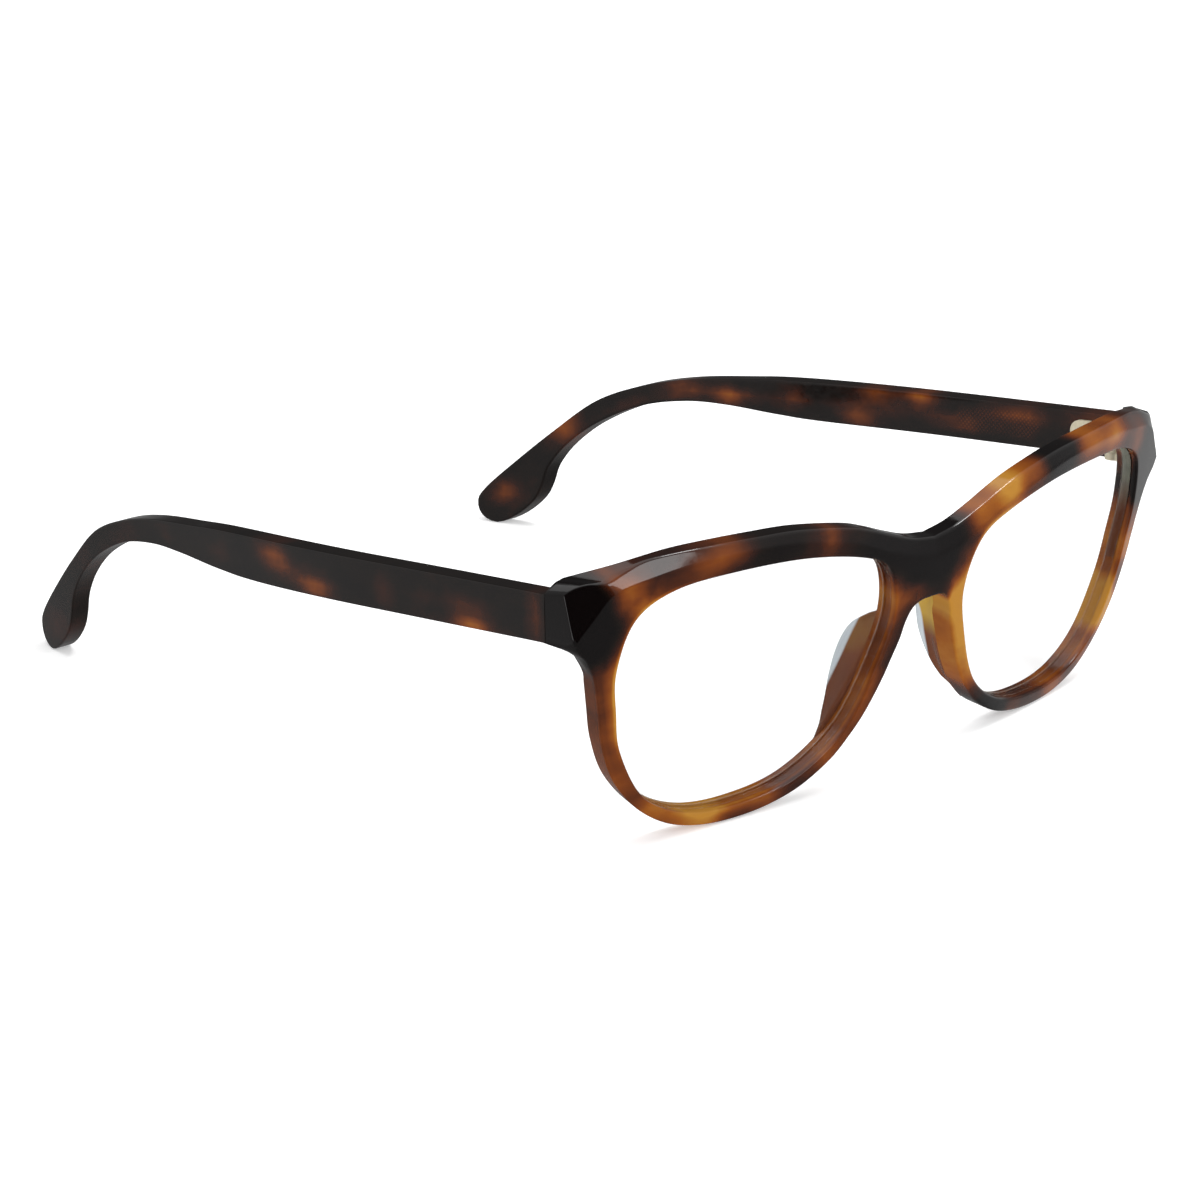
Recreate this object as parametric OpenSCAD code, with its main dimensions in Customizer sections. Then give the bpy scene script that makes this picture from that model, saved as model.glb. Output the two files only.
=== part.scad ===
// Acetate eyeglasses frame with clear lenses, glued nose pads and two folding temples.
// The row frame stands the closed-lens front on its lower rims and the open temples on their tips:
// +Z up, the front faces -Y, the temples run back along +Y, the wearer's right side is -X.
// Inner frames used below:
//   temple frame: the temple's top edge is level, y = 0 is the middle of the front, z = 0 its foot;
//   front frame:  x across, y depth behind the front surface, z up the front from the lens centre.

/* [Lenses] */
// Width of the lens opening
lens_w = 52; // [48:0.5:56]
// Height of the lens opening
lens_h = 39; // [36:0.5:42]
// Gap between the two lens openings at the nose
bridge_w = 16.4; // [15:0.2:20]
// Thickness of a clear lens
lens_t = 1.6; // [1.2:0.1:2]
// How far the lens edge reaches into the groove of the rim
groove_depth = 0.5; // [0.3:0.1:0.8]

/* [Front] */
// Thickness of the acetate front
front_t = 3.8; // [3.2:0.1:4.6]
// Radius of the bend of the front, seen from above
front_r = 252; // [180:2:400]
// Width of the rim below and beside the lens
rim_w = 2.4; // [2:0.1:3.2]
// Full width across the two endpieces
front_w = 140; // [132:1:150]
// Angle between the front and a square cut across the temples
front_tilt = 14.2; // [8:0.1:16]

/* [Nose pads] */
// Height of a pad along the side of the nose
pad_h = 17; // [14:0.5:19]
// How far a pad stands out behind the front
pad_d = 4; // [3:0.1:5]
// Lean of a pad from the vertical, seen from the front
pad_lean = 24; // [18:1:30]

/* [Temples] */
// Length from the middle of the front to the end of the tips
temple_reach = 151; // [146:0.5:155]
// Height of a temple at the hinge
temple_h = 7.2; // [6.8:0.1:7.6]
// Thickness of a temple
temple_t = 3.6; // [3.2:0.1:4.2]
// Fall of the open temples towards their tips, when the frame stands on a table
temple_fall = 3.9; // [3:0.1:4.5]

/* [Hinges] */
// Outer radius of a hinge barrel
barrel_r = 1.5; // [1.3:0.05:1.6]
// Height of one of the five barrels
barrel_h = 1.2; // [1:0.05:1.3]
// Radius of the hinge screw
screw_r = 0.65; // [0.5:0.05:0.75]
// Length of the temple's hinge plate
plate_l = 10; // [8:0.5:12]

/* [Hidden] */
$fn = 64;

// Clearances
fit = 0.02;       // pieces that are set into one another
run = 0.05;       // the temple's barrels on the screw, and between barrels
butt = 0.06;      // the temple's end against the endpiece

// Row frame: where the temple frame sits
row_back = 73;    // the box of the whole frame is centred on y = 0
row_up = 13.05;   // lifts the lower rims and the tips onto z = 0

// Front
lens_x = bridge_w / 2 + lens_w / 2;
lens_z = 8.2;
half_w = front_w / 2;
depth = 40;
// Temples
temple_x = 68.2;                  // outer face
temple_in = temple_x - temple_t;  // inner face
joint_y = 9;                      // plane where temple and endpiece meet
mid_z = 25.1;                     // middle height of the straight part
bow_start = 45;                   // the temple is straight up to here, then bows inwards
bow_r = 385;
stretch = temple_reach / 151;
// Hinges
hinge_x = temple_in - 1.9;
stack_h = 5 * barrel_h + 4 * run;
plate_h = 4.6;
plate_r = 2;                      // rounding of its rear corners
plate_in = 0.7;                   // how far the plate stands out of the temple's inner face
head_r = 1.05;
head_h = 0.6;
// Core wire
wire_h = 1.3;
wire_t = 0.9;
wire_from = 26;
paddle_l = 18;                    // knurled flat head of the wire
paddle_h = 4.2;

// ---- curves -------------------------------------------------------------------------------------

function spline(a, b, c, d, t) =
    0.5 * (2 * b + (c - a) * t + (2 * a - 5 * b + 4 * c - d) * t * t + (3 * b - a - 3 * c + d) * t * t * t);

// Closed smooth curve through points, n steps between two points
function closed_curve(p, n) = [for (i = [0 : len(p) - 1], k = [0 : n - 1])
    spline(p[(i + len(p) - 1) % len(p)], p[i], p[(i + 1) % len(p)], p[(i + 2) % len(p)], k / n)];

// Open smooth curve from the first point to the last
function open_curve(p, n) = let (q = concat([2 * p[0] - p[1]], p, [2 * p[len(p) - 1] - p[len(p) - 2]]))
    concat([for (i = [1 : len(p) - 1], k = [0 : n - 1]) spline(q[i - 1], q[i], q[i + 1], q[i + 2], k / n)],
           [p[len(p) - 1]]);

function ease(t) = let (u = min(max(t, 0), 1)) u * u * (3 - 2 * u);

// ---- outlines -----------------------------------------------------------------------------------

// Lens shape around its centre in half widths and half heights, the temple side at +x
LENS = [[0.97, 0], [1, 0.35], [0.92, 0.74], [0.69, 0.93], [0.31, 0.99], [-0.19, 0.98], [-0.65, 0.87],
        [-0.90, 0.71], [-1, 0.36], [-0.95, 0], [-0.74, -0.57], [-0.38, -0.90], [0.04, -1],
        [0.42, -0.96], [0.72, -0.75], [0.91, -0.34]];

// Brow from the bridge to the corner, from the lens centre up
BROW = [[0, 16.4], [5, 17.2], [10, 18.8], [15, 20.6], [20, 22], [30, 23.5], [38, 23.8],
        [46, 23.6], [55, 22.9], [62, 22.1], [67.5, 21.6]];
// Underside of the endpiece, from its outer edge in to the rim
ENDPIECE = [[69.4, 10.8], [67.4, 9.3], [65.4, 7.4], [64, 5], [63, 2]];
// Side of the nose, from the rim up to the middle of the bridge
NOSE = [[14.6, -13], [12.4, -10.4], [10.6, -7.6], [9, -4.6], [7.6, -1.6], [6.3, 1.2], [5.5, 3.8], [4.1, 5.9],
        [2.2, 6.7], [0, 6.8]];

// Side view of a temple in [y, height from its middle line]: top edge, round tip, heel and underside
TEMPLE = [[5, 3.6], [40, 3.6], [78, 3.4], [92, 2.8], [104, 1.9], [114, 0.1], [124, -3.3], [134, -9.8], [143, -16.4],
          [149, -21.2], [151, -23.9], [150.3, -26.8], [147.2, -28.1], [143, -26.5], [138.8, -23.3], [136.8, -20.2],
          [135.2, -16.6], [131, -12.1], [124, -7.5], [114, -3.6], [104, -2.1], [95, -2.2], [84, -3.1], [72, -3.6],
          [40, -3.6], [5, -3.6]];
// Middle line of the core wire
WIRE = [[26, 0], [62, 0], [98, -0.2], [112, -1.7], [122, -5.2], [131, -10.7]];

function lens_outline(grow) = closed_curve([for (p = LENS) [p.x * (lens_w / 2 + grow), p.y * (lens_h / 2 + grow)]], 4);

module lens_shape(grow) { translate([lens_x, 0]) polygon(lens_outline(grow)); }

module both_sides() {
    children();
    mirror([1, 0]) children();
}

module front_shape() {
    brow = [for (p = open_curve(BROW, 3)) [p.x * half_w / 70, p.y]];
    end = [for (p = open_curve(ENDPIECE, 3)) [p.x * half_w / 70, p.y]];
    nose = open_curve(NOSE, 2);
    both_sides() polygon(concat(brow, [[half_w - 0.4, 20.7]], end, [[50, -4], [20, -15]], nose));
    both_sides() lens_shape(rim_w);
}

// ---- placing ------------------------------------------------------------------------------------

// Temple frame into the row frame
module on_table() { translate([0, -row_back, row_up]) rotate([-temple_fall, 0, 0]) children(); }

// Front frame into the temple frame
module in_front() { rotate([front_tilt, 0, 0]) translate([0, 0, lens_z]) children(); }

// Foot of a hinge axis: it stands upright when the frame lies on a table
module at_axis() {
    translate([hinge_x, joint_y, mid_z]) rotate([temple_fall, 0, 0]) translate([0, 0, -stack_h / 2]) children();
}

// Everything behind the joint between endpiece and temple
module behind_joint(gap) {
    translate([0, joint_y, mid_z]) rotate([temple_fall, 0, 0]) translate([0, gap, -50]) cube([100, 200, 100]);
}

// The left side is modelled, the right is its mirror image
module side(s) { if (s == "right") mirror([1, 0, 0]) children(); else children(); }

// ---- front --------------------------------------------------------------------------------------

// Slab between two depths behind the bent front surface
module bent_slab(from, to) {
    translate([0, front_r, 0]) difference() {
        cylinder(r = front_r - from, h = 80, center = true, $fn = 360);
        cylinder(r = front_r - to, h = 82, center = true, $fn = 360);
    }
}

module stand_up() { rotate([90, 0, 0]) translate([0, 0, -depth + 6]) linear_extrude(depth) children(); }

// Return of the endpiece, from the front back to the joint, seen from above
module endpiece() {
    difference() {
        translate([0, 0, mid_z - temple_h / 2]) linear_extrude(temple_h)
            polygon([[64, 4.5], [69.4, 4.5], [temple_x, joint_y + 1], [temple_in, joint_y + 1],
                     [temple_in, 7.4], [64, 7.4]]);
        behind_joint(0);
    }
}

// Block of the front hinge, sunk into the back of the front
module front_block(grow) {
    at_axis() translate([-1.3 - grow, -4.8 - grow, -grow]) cube([2.8 + 2 * grow, 3.1 + grow, stack_h + 2 * grow]);
}

module front_frame() {
    color([0.3, 0.13, 0.05]) on_table() difference() {
        union() {
            in_front() intersection() {
                stand_up() difference() { front_shape(); both_sides() lens_shape(0); }
                bent_slab(0, front_t);
            }
            endpiece();
            side("right") endpiece();
        }
        in_front() intersection() {
            stand_up() both_sides() lens_shape(groove_depth + fit);
            bent_slab(front_t / 2 - 0.4 - fit, front_t / 2 + 0.4 + fit);
        }
        front_block(fit);
        side("right") front_block(fit);
    }
}

module lens(s) {
    color([0.85, 0.9, 0.92, 0.35]) on_table() in_front() side(s) union() {
        intersection() { stand_up() lens_shape(-fit); bent_slab((front_t - lens_t) / 2, (front_t + lens_t) / 2); }
        intersection() { stand_up() lens_shape(groove_depth); bent_slab(front_t / 2 - 0.4, front_t / 2 + 0.4); }
    }
}

// Pad: a wedge with a domed back, glued to the back of the rim beside the nose
module nose_pad(s) {
    dome_r = (pow(pad_h / 2, 2) + pow(pad_d, 2)) / (2 * pad_d);
    color([0.72, 0.68, 0.6]) on_table() in_front() side(s) intersection() {
        translate([9.6, 0, -4.8]) rotate([0, -pad_lean, 0]) intersection() {
            translate([0, 0, -pad_h / 2]) linear_extrude(pad_h)
                polygon([[-1.6, 0], [2.3, 0], [4.2, front_t + pad_d], [3, front_t + pad_d + 0.5], [1.6, front_t + pad_d]]);
            translate([0, front_t + pad_d - dome_r, 0]) rotate([0, 90, 0]) cylinder(r = dome_r, h = 20, center = true, $fn = 180);
        }
        translate([0, front_r, 0]) cylinder(r = front_r - front_t, h = 80, center = true, $fn = 360);
    }
}

// ---- hinges -------------------------------------------------------------------------------------

module barrel(level, bore) {
    translate([0, 0, level * (barrel_h + run)]) difference() {
        union() { cylinder(r = barrel_r, h = barrel_h); children(); }
        translate([0, 0, -1]) cylinder(r = bore, h = barrel_h + 2);
    }
}

module front_hinge(s) {
    color([0.78, 0.75, 0.68]) on_table() side(s) difference() {
        union() {
            front_block(0);
            at_axis() for (level = [0, 2, 4]) barrel(level, screw_r + fit)
                translate([-1.1, -1.9, 0]) cube([2.2, 1.9, barrel_h]);
        }
        at_axis() translate([0, 0, stack_h - head_h]) cylinder(r = head_r + fit, h = 2);
    }
}

// Plate on the temple's inner face, with a rounded rear end
module hinge_plate(grow) {
    translate([temple_in - plate_in - grow, joint_y + 1.2 - grow, mid_z - plate_h / 2 - grow]) rotate([90, 0, 90])
        linear_extrude(plate_in + 0.9 + 2 * grow) union() {
            square([plate_l - 1.2 - plate_r + grow, plate_h + 2 * grow]);
            translate([plate_l - 1.2 - plate_r, plate_r + grow]) circle(r = plate_r + grow);
            translate([plate_l - 1.2 - plate_r, plate_h - plate_r + grow]) circle(r = plate_r + grow);
            translate([0, plate_r + grow]) square([plate_l - 1.2 + grow, plate_h - 2 * plate_r]);
        }
}

module temple_hinge(s) {
    color([0.78, 0.75, 0.68]) on_table() side(s) union() {
        hinge_plate(0);
        at_axis() for (level = [1, 3]) barrel(level, screw_r + run)
            translate([0, 0.2, 0]) cube([temple_in - hinge_x, 1.3, barrel_h]);
    }
}

module hinge_screw(s) {
    color([0.7, 0.7, 0.72]) on_table() side(s) at_axis() difference() {
        union() {
            cylinder(r = screw_r, h = stack_h - head_h);
            translate([0, 0, stack_h - head_h]) cylinder(r = head_r, h = head_h);
        }
        translate([-2, -0.15, stack_h - 0.3]) cube([4, 0.3, 1]);
    }
}

// ---- temples ------------------------------------------------------------------------------------

module temple_side() {
    outline = [for (p = open_curve(TEMPLE, 4)) [p.x * stretch, p.y * temple_h / 7.2]];
    translate([0, mid_z]) polygon(outline);
}

// Plan view of a strip between two depths inside the outer face
module temple_plan(from, to) {
    bend = [for (a = [0 : 1 : 19]) a];
    function edge(inset) = concat([[temple_x - inset, 0]],
        [for (a = bend) [temple_x - bow_r + (bow_r - inset) * cos(a), bow_start + (bow_r - inset) * sin(a)]]);
    outer = edge(from);
    inner = edge(to);
    polygon(concat(outer, [for (i = [len(inner) - 1 : -1 : 0]) inner[i]]));
}

module side_slab() { translate([40, 0, 0]) rotate([90, 0, 90]) linear_extrude(depth) children(); }

module plan_slab() { translate([0, 0, -20]) linear_extrude(60) children(); }

// Half height of the core wire: a flat oval head at the front, then a plain strip
function wire_half(y) = let (u = (y - wire_from) / (paddle_l / 2) - 1)
    u < 1 ? max(wire_h / 2, paddle_h / 2 * pow(max(1 - pow(abs(u), 4), 0), 0.25)) : wire_h / 2;

module wire_side(grow) {
    line = open_curve(WIRE, 12);
    last = len(line) - 1;
    ends = [for (i = [0 : last]) [line[i].x * stretch + (i == 0 ? -grow : i == last ? grow : 0), line[i].y]];
    translate([0, mid_z]) polygon(concat(
        [for (i = [0 : last]) [ends[i].x, ends[i].y + wire_half(line[i].x) + grow]],
        [for (i = [last : -1 : 0]) [ends[i].x, ends[i].y - wire_half(line[i].x) - grow]]));
}

module wire_shape(grow) {
    intersection() {
        side_slab() wire_side(grow);
        plan_slab() temple_plan((temple_t - wire_t) / 2 - grow, (temple_t + wire_t) / 2 + grow);
    }
}

module temple(s) {
    color([0.24, 0.1, 0.05]) on_table() side(s) difference() {
        intersection() {
            side_slab() temple_side();
            plan_slab() temple_plan(0, temple_t);
            behind_joint(butt);
        }
        hinge_plate(fit);
        wire_shape(fit);
    }
}

module core_wire(s) { color([0.6, 0.58, 0.54]) on_table() side(s) wire_shape(0); }

front_frame();
lens("right");  // lens_right
lens("left");  // lens_left
nose_pad("right");  // nose_pad_right
nose_pad("left");  // nose_pad_left
front_hinge("right");  // front_hinge_right
front_hinge("left");  // front_hinge_left
temple_hinge("right");  // temple_hinge_right
temple_hinge("left");  // temple_hinge_left
hinge_screw("right");  // hinge_screw_right
hinge_screw("left");  // hinge_screw_left
temple("right");  // temple_right
temple("left");  // temple_left
core_wire("right");  // core_wire_right
core_wire("left");  // core_wire_left
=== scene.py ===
"""Looks of a tortoiseshell acetate eyeglasses frame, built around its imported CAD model.

Lengths are in millimetres in three nested frames, and on_table() turns them into the row frame's metres:
  row frame:    the frame stands on its lower rims and temple tips, +Z up, the front faces -Y;
  temple frame: the temples' top edge is level, y runs back from the middle of the front;
  front frame:  x across, z up from the lens centre, w is the depth behind the bent front surface.
"""

import math

import bmesh
import bpy
import numpy as np
from mathutils import Matrix, Vector
from mathutils.geometry import delaunay_2d_cdt


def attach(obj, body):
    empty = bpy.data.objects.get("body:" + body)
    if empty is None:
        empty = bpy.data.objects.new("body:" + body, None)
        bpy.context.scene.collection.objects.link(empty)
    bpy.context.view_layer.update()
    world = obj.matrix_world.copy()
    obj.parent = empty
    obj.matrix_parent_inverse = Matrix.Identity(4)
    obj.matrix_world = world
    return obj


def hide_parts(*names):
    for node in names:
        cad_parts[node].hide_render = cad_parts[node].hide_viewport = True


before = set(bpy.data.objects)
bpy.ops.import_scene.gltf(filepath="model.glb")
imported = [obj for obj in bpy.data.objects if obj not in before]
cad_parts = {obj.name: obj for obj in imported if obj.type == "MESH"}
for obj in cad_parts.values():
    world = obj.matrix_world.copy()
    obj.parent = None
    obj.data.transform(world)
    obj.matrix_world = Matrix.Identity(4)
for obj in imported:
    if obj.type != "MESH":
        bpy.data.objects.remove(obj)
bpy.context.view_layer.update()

MM = 0.001

# ---- the design's own sizes, as in the CAD model ----
FALL = math.radians(3.9)          # the open temples fall towards their tips on a table
ROW_BACK = 73.0                   # the front's middle lies this far before the row frame's origin
ROW_UP = 13.05                    # height of the temple frame's origin above the table
TILT = math.radians(14.2)         # the front leans against a square cut across the temples
FRONT_R = 252.0                   # bend of the front, seen from above
FRONT_T = 3.8
LENS_X = 34.2
LENS_Z = 8.2
LENS_HALF = (26.0, 19.5)
LENS_T = 1.6
LENS_NEAR = (FRONT_T - LENS_T) / 2   # depths of the lens's two faces
LENS_FAR = (FRONT_T + LENS_T) / 2
TEMPLE_X = 68.2                   # outer face of a temple
TEMPLE_T = 3.6
TEMPLE_IN = TEMPLE_X - TEMPLE_T
JOINT_Y = 9.0                     # plane between endpiece and temple
BUTT = 0.06                       # gap at that plane when the temple is open
MID_Z = 25.1                      # middle height of the temples' straight part
HALF_H = 3.6                      # half height of that part
BOW_START = 45.0                  # from here back the temples bow inwards
BOW_R = 385.0

# Lens shape in half widths and half heights, temple side at +x
LENS = [(0.97, 0), (1, 0.35), (0.92, 0.74), (0.69, 0.93), (0.31, 0.99), (-0.19, 0.98), (-0.65, 0.87),
        (-0.90, 0.71), (-1, 0.36), (-0.95, 0), (-0.74, -0.57), (-0.38, -0.90), (0.04, -1),
        (0.42, -0.96), (0.72, -0.75), (0.91, -0.34)]

# ---- how finely the meshes are made ----
STEP = 0.75                       # spacing of stations along the front's outline
TEMPLE_STEP = 1.2                 # the same along a temple's outline
FACE_GRID = 1.5                   # spacing of points inside the front's flat faces
LENS_GRID = 2.0
TEMPLE_GRID = 1.6
GRID_SHIFT = (0.13, 0.07)         # in spacings: keeps grid points off the outlines' own points
GRID_ROOM = 0.6                   # in spacings: least distance of a grid point from an outline
FILLET_SHARE = 0.45               # a fillet takes at most this much of the shorter side of its corner
WELD = 2e-6                       # in metres
TINY_EDGE = 1e-6


# ---- placing ----

def on_table(p):
    """Temple frame, in mm, to the row frame, in metres."""
    p = np.asarray(p, float)
    x, y, z = p[..., 0], p[..., 1], p[..., 2]
    c, s = math.cos(FALL), math.sin(FALL)
    return np.stack([x, y * c + z * s - ROW_BACK, z * c - y * s + ROW_UP], -1) * MM


def off_table(p):
    """Row frame, in metres, back to the temple frame, in mm."""
    p = np.asarray(p, float) / MM
    x, y, z = p[..., 0], p[..., 1] + ROW_BACK, p[..., 2] - ROW_UP
    c, s = math.cos(FALL), math.sin(FALL)
    return np.stack([x, y * c - z * s, y * s + z * c], -1)


def from_front(p):
    """Front frame (x, z, w) to the temple frame."""
    p = np.asarray(p, float)
    x, z, w = p[..., 0], p[..., 1], p[..., 2]
    turn = np.arcsin(x / FRONT_R)
    side = x - w * np.sin(turn)
    back = FRONT_R - np.sqrt(FRONT_R ** 2 - x ** 2) + w * np.cos(turn)
    up = z + LENS_Z
    c, s = math.cos(TILT), math.sin(TILT)
    return np.stack([side, back * c - up * s, back * s + up * c], -1)


def to_front(p):
    """Temple frame to the front frame (x, z, w)."""
    p = np.asarray(p, float)
    c, s = math.cos(TILT), math.sin(TILT)
    back = p[..., 1] * c + p[..., 2] * s
    up = p[..., 2] * c - p[..., 1] * s
    turn = np.arctan2(p[..., 0], FRONT_R - back)
    reach = np.hypot(p[..., 0], FRONT_R - back)
    return np.stack([FRONT_R * np.sin(turn), up - LENS_Z, FRONT_R - reach], -1)


def sheet(flat, w):
    """Points (x, z) of the front at one depth w, in the temple frame."""
    return from_front(np.column_stack([flat, np.full(len(flat), w)]))


def from_temple(p):
    """Left temple (y along, z up from its middle line, t in from the outer face) to the temple frame."""
    p = np.asarray(p, float)
    y, z, t = p[..., 0], p[..., 1], p[..., 2]
    over = np.maximum(y - BOW_START, 0)
    x = TEMPLE_X - BOW_R + np.sqrt((BOW_R - t) ** 2 - over ** 2)
    return np.stack([x, y, z + MID_Z], -1)


# ---- curves ----

def catmull(a, b, c, d, t):
    """Point of a Catmull-Rom curve between b and c."""
    square = (2 * a - 5 * b + 4 * c - d) * t ** 2
    cube = (3 * b - a - 3 * c + d) * t ** 3
    return 0.5 * (2 * b + (c - a) * t + square + cube)


def smooth_open(points, steps):
    """Smooth curve through the points, with steps[i] samples between points i and i + 1."""
    p = np.asarray(points, float)
    q = np.vstack([2 * p[0] - p[1], p, 2 * p[-1] - p[-2]])
    rows = [catmull(*q[i:i + 4], k / n) for i, n in enumerate(steps) for k in range(n)]
    return np.array(rows + [p[-1]])


def smooth_split(points, steps, corners):
    """As smooth_open, with a sharp corner at each index in corners."""
    cuts = [0] + sorted(corners) + [len(points) - 1]
    runs = [smooth_open(points[a:b + 1], steps[a:b]) for a, b in zip(cuts, cuts[1:])]
    return np.vstack([r[:-1] for r in runs[:-1]] + [runs[-1]])


def smooth_closed(points, steps):
    """Smooth closed curve through the points, with the same number of samples between each two."""
    p = np.asarray(points, float)
    n = len(p)
    rows = []
    for i in range(n):
        around = (p[i - 1], p[i], p[(i + 1) % n], p[(i + 2) % n])
        rows += [catmull(*around, k / steps) for k in range(steps)]
    return np.array(rows)


def outward(loop):
    """Unit normals of a closed 2D loop, away from its inside."""
    ahead = np.roll(loop, -1, 0) - loop
    ahead /= np.maximum(np.linalg.norm(ahead, axis=1), 1e-9)[:, None]
    along = ahead + np.roll(ahead, 1, 0)
    along /= np.maximum(np.linalg.norm(along, axis=1), 1e-9)[:, None]
    normal = np.stack([along[:, 1], -along[:, 0]], 1)
    x, y = loop.T
    area = np.sum(x * np.roll(y, -1) - np.roll(x, -1) * y)
    return normal if area > 0 else -normal


def fillet(before, corner, after, radius, steps):
    """Rows that round a corner of a section, for every station of a loop at once."""
    a, b = before - corner, after - corner
    la = np.maximum(np.linalg.norm(a, axis=1), 1e-9)
    lb = np.maximum(np.linalg.norm(b, axis=1), 1e-9)
    r = np.minimum(radius, FILLET_SHARE * np.minimum(la, lb))
    start, end = corner + a * (r / la)[:, None], corner + b * (r / lb)[:, None]
    bend = np.linspace(0, 1, steps + 1)
    return [start * (1 - t) ** 2 + corner * 2 * t * (1 - t) + end * t ** 2 for t in bend]


def rounded(section, corners):
    """All rows of a section whose inner corners are rounded; corners holds (radius, steps) of each."""
    rows = [section[0]]
    for before, corner, after, (radius, steps) in zip(section, section[1:], section[2:], corners):
        rows += fillet(before, corner, after, radius, steps)
    return rows + [section[-1]]


def ease(t):
    t = np.clip(t, 0, 1)
    return t * t * (3 - 2 * t)


# ---- meshes ----

class Shell:
    """Collects faces in the row frame and welds them into one mesh."""

    def __init__(self):
        self.points, self.faces, self.slots = [], [], []
        self.count = 0

    def add(self, points, faces, slots):
        """Slots is one material slot, or one for each face."""
        self.points.append(np.asarray(points, float))
        self.faces += [tuple(i + self.count for i in f) for f in faces]
        self.slots += np.broadcast_to(slots, len(faces)).tolist()
        self.count += len(points)

    def band(self, rows, slots=0):
        """Quads between closed rows of the same length; slots is one number, or one for each station."""
        n = len(rows[0])
        faces = [(i * n + k, i * n + (k + 1) % n, (i + 1) * n + (k + 1) % n, (i + 1) * n + k)
                 for i in range(len(rows) - 1) for k in range(n)]
        self.add(np.vstack(rows), faces, np.tile(np.broadcast_to(slots, n), len(rows) - 1))

    def cap(self, rim, holes, spacing, place):
        """Flat triangles inside a 2D rim and outside its holes, put in space by place()."""
        loops = [rim] + holes
        points, edges = [], []
        for loop in loops:
            start = len(points)
            points += [tuple(p) for p in loop]
            edges += [(start + k, start + (k + 1) % len(loop)) for k in range(len(loop))]
        lo, hi = rim.min(0), rim.max(0)
        gx, gy = np.meshgrid(np.arange(lo[0], hi[0], spacing), np.arange(lo[1], hi[1], spacing))
        grid = np.stack([gx.ravel() + GRID_SHIFT[0] * spacing, gy.ravel() + GRID_SHIFT[1] * spacing], 1)
        border = np.vstack(loops)
        near = np.min(np.linalg.norm(grid[:, None] - border[None], axis=2), axis=1)
        kept = grid[within(grid, rim, holes) & (near > GRID_ROOM * spacing)]
        points += [tuple(p) for p in kept]
        made = delaunay_2d_cdt([Vector(p) for p in points], edges, [], 0, 1e-6)
        flat = np.array([tuple(v) for v in made[0]])
        faces = made[2]
        centre = np.array([flat[list(f)].mean(0) for f in faces])
        good = within(centre, rim, holes)
        self.add(place(flat), [f for f, g in zip(faces, good) if g], 0)

    def build(self, name, materials, mirror=False):
        """The welded object, or its mirror image on the other side of the frame."""
        points = np.vstack(self.points)
        if mirror:
            points = points * [-1, 1, 1]
        mesh = bpy.data.meshes.new(name)
        mesh.from_pydata(points.tolist(), [], self.faces)
        mesh.polygons.foreach_set("material_index", self.slots)
        bm = bmesh.new()
        bm.from_mesh(mesh)
        bmesh.ops.remove_doubles(bm, verts=bm.verts, dist=WELD)
        bmesh.ops.dissolve_degenerate(bm, edges=bm.edges, dist=TINY_EDGE)
        bmesh.ops.recalc_face_normals(bm, faces=bm.faces)
        bm.to_mesh(mesh)
        bm.free()
        mesh.shade_smooth()
        obj = bpy.data.objects.new(name, mesh)
        bpy.context.scene.collection.objects.link(obj)
        for material in materials:
            mesh.materials.append(material)
        even = obj.modifiers.new("even_normals", "WEIGHTED_NORMAL")
        even.weight = 100
        even.keep_sharp = False
        return obj


def inside(points, loop):
    """Which points lie inside a closed 2D loop."""
    x, y = points[:, 0][:, None], points[:, 1][:, None]
    x1, y1 = loop[:, 0][None], loop[:, 1][None]
    x2, y2 = np.roll(loop[:, 0], -1)[None], np.roll(loop[:, 1], -1)[None]
    spans = (y1 > y) != (y2 > y)
    rise = np.where(y2 == y1, 1, y2 - y1)
    return (np.sum(spans & (x < (x2 - x1) * (y - y1) / rise + x1), axis=1) % 2) == 1


def within(points, rim, holes):
    """Which points lie inside the rim and outside its holes."""
    good = inside(points, rim)
    for hole in holes:
        good &= ~inside(points, hole)
    return good


def paint(obj, name, value):
    """Stores one number per vertex for the material; value() takes row frame points."""
    co = np.zeros(len(obj.data.vertices) * 3, np.float32)
    obj.data.vertices.foreach_get("co", co)
    layer = obj.data.attributes.new(name, "FLOAT", "POINT")
    layer.data.foreach_set("value", np.asarray(value(co.reshape(-1, 3)), np.float32))


# ---- the front ----

# Brow, from the middle to the endpiece: x, height of the top edge, height of the ridge that the top bevel
# starts from, radius of that ridge, depth of the bevel at the top edge
BROW = [(0, 16.4, 13.6, 1.2, 1.0), (5, 17.2, 14.4, 1.2, 1.0), (10, 18.8, 16.0, 1.2, 1.0),
        (15, 20.6, 18.0, 1.2, 1.0), (20, 22.0, 19.7, 1.1, 1.0), (30, 23.5, 21.7, 0.9, 1.0),
        (38, 23.8, 22.2, 0.8, 1.0), (46, 23.75, 22.05, 0.7, 1.1), (52, 23.45, 21.4, 0.6, 1.35),
        (57, 22.75, 20.6, 0.4, 1.75)]
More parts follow.
